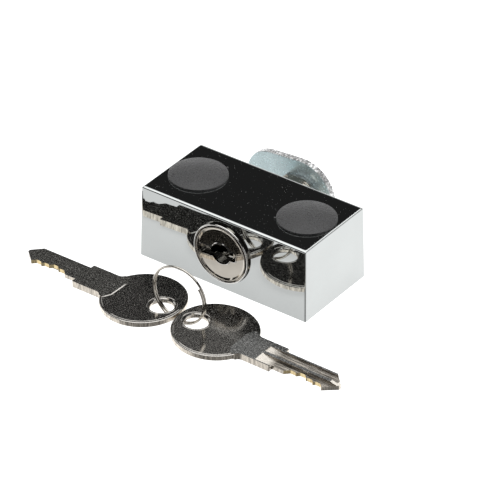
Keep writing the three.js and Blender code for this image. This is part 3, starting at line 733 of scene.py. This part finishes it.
def cut_points():
    """The cuts' flat roots, with flanks running up at 45 degrees until they meet."""
    starts = [STOPS + FIRST_CUT + i * CUT_PITCH - CUT_HALF for i in range(len(CUTS))]
    points = [(starts[0] - CUTS[0], -BLADE)]
    for i, depth in enumerate(CUTS):
        end = starts[i] + 2 * CUT_HALF
        points += [(starts[i], depth - BLADE), (end, depth - BLADE)]
        rise = depth
        if i + 1 < len(CUTS):
            rise = (starts[i + 1] - end + depth - CUTS[i + 1]) / 2
        points.append((end + rise, depth - rise - BLADE))
    return points


def blade_outline(neck):
    """Neck, shoulder and blade about the blade's centreline, with the cuts on the -Y side."""
    neck_half, fillet, corner = 4.2, 2.0, 0.25
    wing = (neck + 1.5, 6.9)  # where the neck's edge comes out at the bow's rim
    fillet_y = SHOULDER + fillet
    fillet_x = math.sqrt((BOW_RADIUS + fillet) ** 2 - fillet_y ** 2)
    toward_bow = math.degrees(math.atan2(fillet_y, fillet_x))
    points = [(neck, -neck_half), (wing[0], -wing[1])]
    points += arc(fillet_x, -fillet_y, fillet, 180 - toward_bow, 90, 8)
    points += arc(STOPS - corner, corner - SHOULDER, corner, -90, 0, 3) + [(STOPS, -BLADE)]
    points += cut_points()
    points += [(REACH, -0.3), (REACH, 0.6), (REACH + 0.6 - BLADE, BLADE), (STOPS, BLADE)]
    points += arc(STOPS - corner, SHOULDER - corner, corner, 0, 90, 3)
    points += arc(fillet_x, fillet_y, fillet, -90, toward_bow - 180, 8)
    points += [wing, (neck, neck_half)]
    return [(x, y + BLADE_LINE) for x, y in points]


def groove(y0, y1, depth):
    """A cutter for a groove milled by a wheel, which leaves a long curved run-out."""
    run_out, steps = 6.0, 12
    side = [(MILLING_START, HALF + 1)]
    for i in range(steps + 1):
        along = i / steps
        side.append((MILLING_START + run_out * along, HALF - depth * (1 - (1 - along) ** 2)))
    side += [(REACH + 1, HALF - depth), (REACH + 1, HALF + 1)]
    return prism(side, y0 + BLADE_LINE, y1 + BLADE_LINE, "Y")


def tip_chamfer():
    """A cutter that thins the tip on the milled side."""
    side = [(REACH - 3, HALF + 1), (REACH - 3, HALF), (REACH, HALF - 0.75), (REACH + 1, HALF - 1),
            (REACH + 1, HALF + 1)]
    return prism(side, -BLADE - 1, BLADE + 1, "Y")


def bow_solid():
    """A disc whose faces end in a narrow bright bevel and a rounded rim."""
    rim = [(0.95, 0), (0.82, 0.08), (0.32, 0.09), (0.17, 0.14), (0.05, 0.25), (0, 0.4)]
    upper = [(BOW_RADIUS - inset, BOW_FLOOR - drop) for inset, drop in rim]
    lower = [(radius, -height) for radius, height in reversed(upper)]
    return turned([(0, BOW_FLOOR)] + upper + lower + [(0, -BOW_FLOOR)], 160)


def hole_cutter():
    """The ring's hole, with a small step and then a wide flare at each face."""
    flare, step = 0.5, 0.17
    wide = HOLE_RADIUS + flare + 1
    low, high = flare - BOW_FLOOR, BOW_FLOOR - flare
    hole = turned([(0, low - flare - 1), (wide, low - flare - 1), (HOLE_RADIUS + step, low - step),
                   (HOLE_RADIUS, low + 0.1), (HOLE_RADIUS, high - 0.1),
                   (HOLE_RADIUS + step, high + step), (wide, high + flare + 1),
                   (0, high + flare + 1)], 96)
    return moved(hole, Matrix.Translation((-HOLE_OFFSET, 0, 0)))


def line_round_hole(side):
    """A cutter for a fine line round the hole, on the milled face for 1 and on the plain one for -1."""
    radius, half_width, depth = 4.75, 0.14, 0.06
    ring = turned([(radius - half_width, BOW_FLOOR + 0.01), (radius, BOW_FLOOR - depth),
                   (radius + half_width, BOW_FLOOR + 0.01), (radius, BOW_FLOOR + 0.2)], 96)
    if side < 0:
        moved(ring, turn(180, "Y"))
    return moved(ring, Matrix.Translation((-HOLE_OFFSET, 0, 0)))


def key_body():
    """The step from blade to bow is upright on the milled side and slopes on the plain one."""
    blade = stack([(blade_outline(NECK + 0.4), -HALF), (blade_outline(NECK), -BOW_FLOOR),
                   (blade_outline(NECK), HALF)])
    key = join(bow_solid(), blade)
    cut(key, hole_cutter(), line_round_hole(1), line_round_hole(-1))
    shallow = groove(0.25, 3.2, 0.5)
    deep = groove(-5.1, -0.9, 0.9)  # runs out through the cut edge
    return cut(key, shallow, deep, tip_chamfer())


BLADE_SLOT, EDGE_SLOT, CUT_SLOT, GROOVE_SLOT = 1, 2, 3, 4  # a key's materials; 0 is its bow's


def paint_key(obj):
    """Bow, blade, plain edges, bare brass in the cuts, and the grooves with their run-outs."""
    first = STOPS + FIRST_CUT - CUT_HALF - CUTS[0]
    last = STOPS + FIRST_CUT + (len(CUTS) - 1) * CUT_PITCH + CUT_HALF + CUTS[-1]
    groove_floor = 0.1  # the deep groove's floor is above this height
    for polygon in obj.data.polygons:
        centre, normal = polygon.center, polygon.normal
        if abs(normal.z) < 0.5:
            in_cuts = first < centre.x < last and centre.y < -1.2 and normal.y < 0.2
            in_groove = centre.x > 18 and -5.4 < centre.y < 3 and abs(normal.y) > 0.99
            if in_cuts and centre.z < groove_floor:
                polygon.material_index = CUT_SLOT
            elif in_groove and centre.z > groove_floor:
                polygon.material_index = GROOVE_SLOT
            else:
                polygon.material_index = EDGE_SLOT
        elif centre.x > MILLING_START and centre.z < HALF - 0.02 and normal.z > 0:
            polygon.material_index = GROOVE_SLOT
        elif centre.x > NECK and abs(centre.z) > BOW_FLOOR + 0.05:
            polygon.material_index = BLADE_SLOT


def make_key(name, node, blade_material, matrix):
    key = key_body()
    paint_key(key)
    moved(key, matrix)
    add_piece(key, name, node,
              [key_face, blade_material, key_edge, key_cut, key_groove], node,
              edge=0.06, sharp_angle=10)


RING_CENTRE = Vector((0.7, -39.2, 10.4))
RING_RADIUS = 9.9
WIRE_RADIUS = 0.4
KEY_SPREAD = 14.17  # from the ring's centre to each bow's centre, side to side
KEY_LEVEL = 2.5  # the bow's middle, held up by the ring's wire under it
KEY_TILT = 1.67  # degrees; the tips rest on the surface


def key_place(side, y, yaw, roll):
    """The centre of a bow to one side of the ring, and the angles at which the key lies."""
    centre = Matrix.Translation((RING_CENTRE.x + side * KEY_SPREAD, y, KEY_LEVEL))
    return centre @ turn(yaw, "Z") @ turn(roll, "Y")


def make_ring():
    """Wire wound a little over one and a half turns about +Y; angles are in degrees."""
    start, sweep, pitch = 35, 605, 0.9
    steps, sides = 300, 16
    bm = bmesh.new()
    rings = []
    for i in range(steps + 1):
        t = i / steps
        angle = math.radians(start - sweep * t)
        outward = Vector((math.cos(angle), 0, math.sin(angle)))
        centre = outward * RING_RADIUS + Vector((0, (t - 0.5) * pitch * sweep / 360, 0))
        ring = []
        for k in range(sides):
            around = 2 * math.pi * k / sides
            offset = outward * math.cos(around) + Vector((0, math.sin(around), 0))
            ring.append(bm.verts.new(RING_CENTRE + centre + offset * WIRE_RADIUS))
        rings.append(ring)
    for a, b in zip(rings, rings[1:]):
        for k in range(sides):
            m = (k + 1) % sides
            bm.faces.new((a[k], a[m], b[m], b[k]))
    bm.faces.new(rings[0])
    bm.faces.new(rings[-1])
    ring = mesh_object(bm)
    add_piece(ring, "wire_ring", "ring", [wire_steel], "key_ring", edge=0.06)


# ---- Stage, light and camera --------------------------------------------------------------

def make_floor():
    """White to the camera. Its reflected light is dim towards the camera and bright away from it."""
    half, drop = 900, 0.02
    into_picture = (-0.59, 0.807, 0)  # level, straight away from the camera
    floor = cuboid((-half, -half, -1), (half, half, -drop))
    floor.name = "white_floor"
    floor.data.transform(Matrix.Scale(MM, 4))
    material = bpy.data.materials.new("white_floor")
    material.use_nodes = True
    tree = material.node_tree
    tree.nodes.clear()
    out = add_node(tree, "ShaderNodeOutputMaterial")
    back_along_ray = add_node(tree, "ShaderNodeNewGeometry").outputs["Incoming"]
    flat = add_node(tree, "ShaderNodeVectorMath", {0: back_along_ray, 1: (1, 1, 0)},
                    operation="MULTIPLY").outputs["Vector"]
    flat = add_node(tree, "ShaderNodeVectorMath", {0: flat}, operation="NORMALIZE").outputs["Vector"]
    to_camera = add_node(tree, "ShaderNodeVectorMath", {0: flat, 1: into_picture},
                         operation="DOT_PRODUCT").outputs["Value"]
    near_card = math_node(tree, "SUBTRACT", 1.0, ramp(tree, to_camera, 0.4, 0.65))
    far_card = math_node(tree, "SUBTRACT", 1.0, ramp(tree, to_camera, -0.7, 0.25))
    glow = math_node(tree, "MULTIPLY", near_card, 0.72)
    glow = math_node(tree, "ADD", glow, math_node(tree, "MULTIPLY", far_card, 0.5))
    glow = math_node(tree, "ADD", glow, 0.06)
    camera_ray = add_node(tree, "ShaderNodeLightPath").outputs["Is Camera Ray"]
    glow = math_node(tree, "MAXIMUM", glow, camera_ray)
    emission = add_node(tree, "ShaderNodeEmission", {"Color": (1, 1, 1, 1), "Strength": glow})
    diffuse = add_node(tree, "ShaderNodeBsdfDiffuse", {"Color": (0.25, 0.25, 0.25, 1)})
    both = add_node(tree, "ShaderNodeAddShader", {0: diffuse.outputs[0], 1: emission.outputs[0]})
    tree.links.new(both.outputs[0], out.inputs["Surface"])
    floor.data.materials.append(material)


def softbox(tree, direction, azimuth, elevation, radius, edge):
    """1 inside a round patch of sky, 0 outside; angles in degrees, azimuth from -Y towards +X."""
    a, e = math.radians(azimuth), math.radians(elevation)
    middle = (math.sin(a) * math.cos(e), -math.cos(a) * math.cos(e), math.sin(e))
    along = add_node(tree, "ShaderNodeVectorMath", {0: direction, 1: middle},
                     operation="DOT_PRODUCT").outputs["Value"]
    outside = math.cos(math.radians(radius + edge))
    return ramp(tree, along, outside, math.cos(math.radians(radius - edge)))


def make_world():
    """A white surround low down, a dark band above it, and a large softbox overhead."""
    surround_strength, overhead_strength, dark_strength = 0.95, 1.6, 0.02
    world = bpy.data.worlds.new("studio")
    bpy.context.scene.world = world
    world.use_nodes = True
    tree = world.node_tree
    background = tree.nodes["Background"]
    direction = add_node(tree, "ShaderNodeTexCoord").outputs["Generated"]
    height = add_node(tree, "ShaderNodeSeparateXYZ", {0: direction}).outputs["Z"]
    surround = math_node(tree, "SUBTRACT", 1.0, ramp(tree, height, 0.38, 0.45))
    behind_camera = softbox(tree, direction, 0, 0, 75, 6)
    surround = math_node(tree, "SUBTRACT", surround, behind_camera, clamp=True)
    overhead = softbox(tree, direction, 216, 85, 45, 1.5)
    light = math_node(tree, "ADD", math_node(tree, "MULTIPLY", surround, surround_strength),
                      math_node(tree, "MULTIPLY", overhead, overhead_strength))
    light = math_node(tree, "ADD", light, dark_strength)
    camera_ray = add_node(tree, "ShaderNodeLightPath").outputs["Is Camera Ray"]
    light = math_node(tree, "MAXIMUM", light, camera_ray)
    tree.links.new(light, background.inputs["Strength"])
    background.inputs["Color"].default_value = (1, 1, 1, 1)


def make_camera():
    """Far off with a long lens, in front, to the right and above; lengths are in picture widths."""
    azimuth, elevation = math.radians(36.15), math.radians(33.86)
    focal_length = 8.606
    origin_right, origin_up = 0.00438, -0.02938  # the frame's origin, from the picture's middle
    distance = 21.476 * BLOCK_LENGTH * MM
    back = Vector((math.sin(azimuth) * math.cos(elevation),
                   -math.cos(azimuth) * math.cos(elevation), math.sin(elevation)))
    right = Vector((math.cos(azimuth), math.sin(azimuth), 0))
    up = back.cross(right)
    data = bpy.data.cameras.new("camera")
    camera = bpy.data.objects.new("camera", data)
    bpy.context.scene.collection.objects.link(camera)
    data.sensor_width = 36.0
    data.lens = focal_length * data.sensor_width
    data.clip_start = 0.05
    data.clip_end = 10
    shift_right = origin_right * distance / focal_length
    shift_up = origin_up * distance / focal_length
    camera.location = back * distance - right * shift_right - up * shift_up
    camera.rotation_mode = "QUATERNION"
    camera.rotation_quaternion = back.to_track_quat("Z", "Y")
    bpy.context.scene.camera = camera


# ---- Put together -------------------------------------------------------------------------

make_block()
make_cover("left_screw_cover", "hole_plug_left", -SCREW_X, 60)
make_cover("right_screw_cover", "hole_plug_right", SCREW_X, 216)
make_barrel()
make_nut()
make_cap()
make_cam()
make_ring()
make_key("front_key", "key_one", matte_key, key_place(1, -39.6, 1.2, KEY_TILT))
make_key("rear_key", "key_two", worn_key, key_place(-1, -39.0, -1.7, 180 - KEY_TILT))

for name in ("mounting_screw_left", "mounting_screw_right", "stop_washer", "cam_lock_washer"):
    keep_node(name, steel)
keep_node("cam_screw", blue_zinc)
keep_node("plug", polished_casting, edge=0.05)
for number in range(1, 6):
    keep_node(f"wafer_{number}", wafer_brass, edge=0.04)
    keep_node(f"wafer_spring_{number}", spring_wire, edge=0.0)

make_floor()
make_world()
make_camera()
bpy.context.scene.view_settings.view_transform = "Standard"
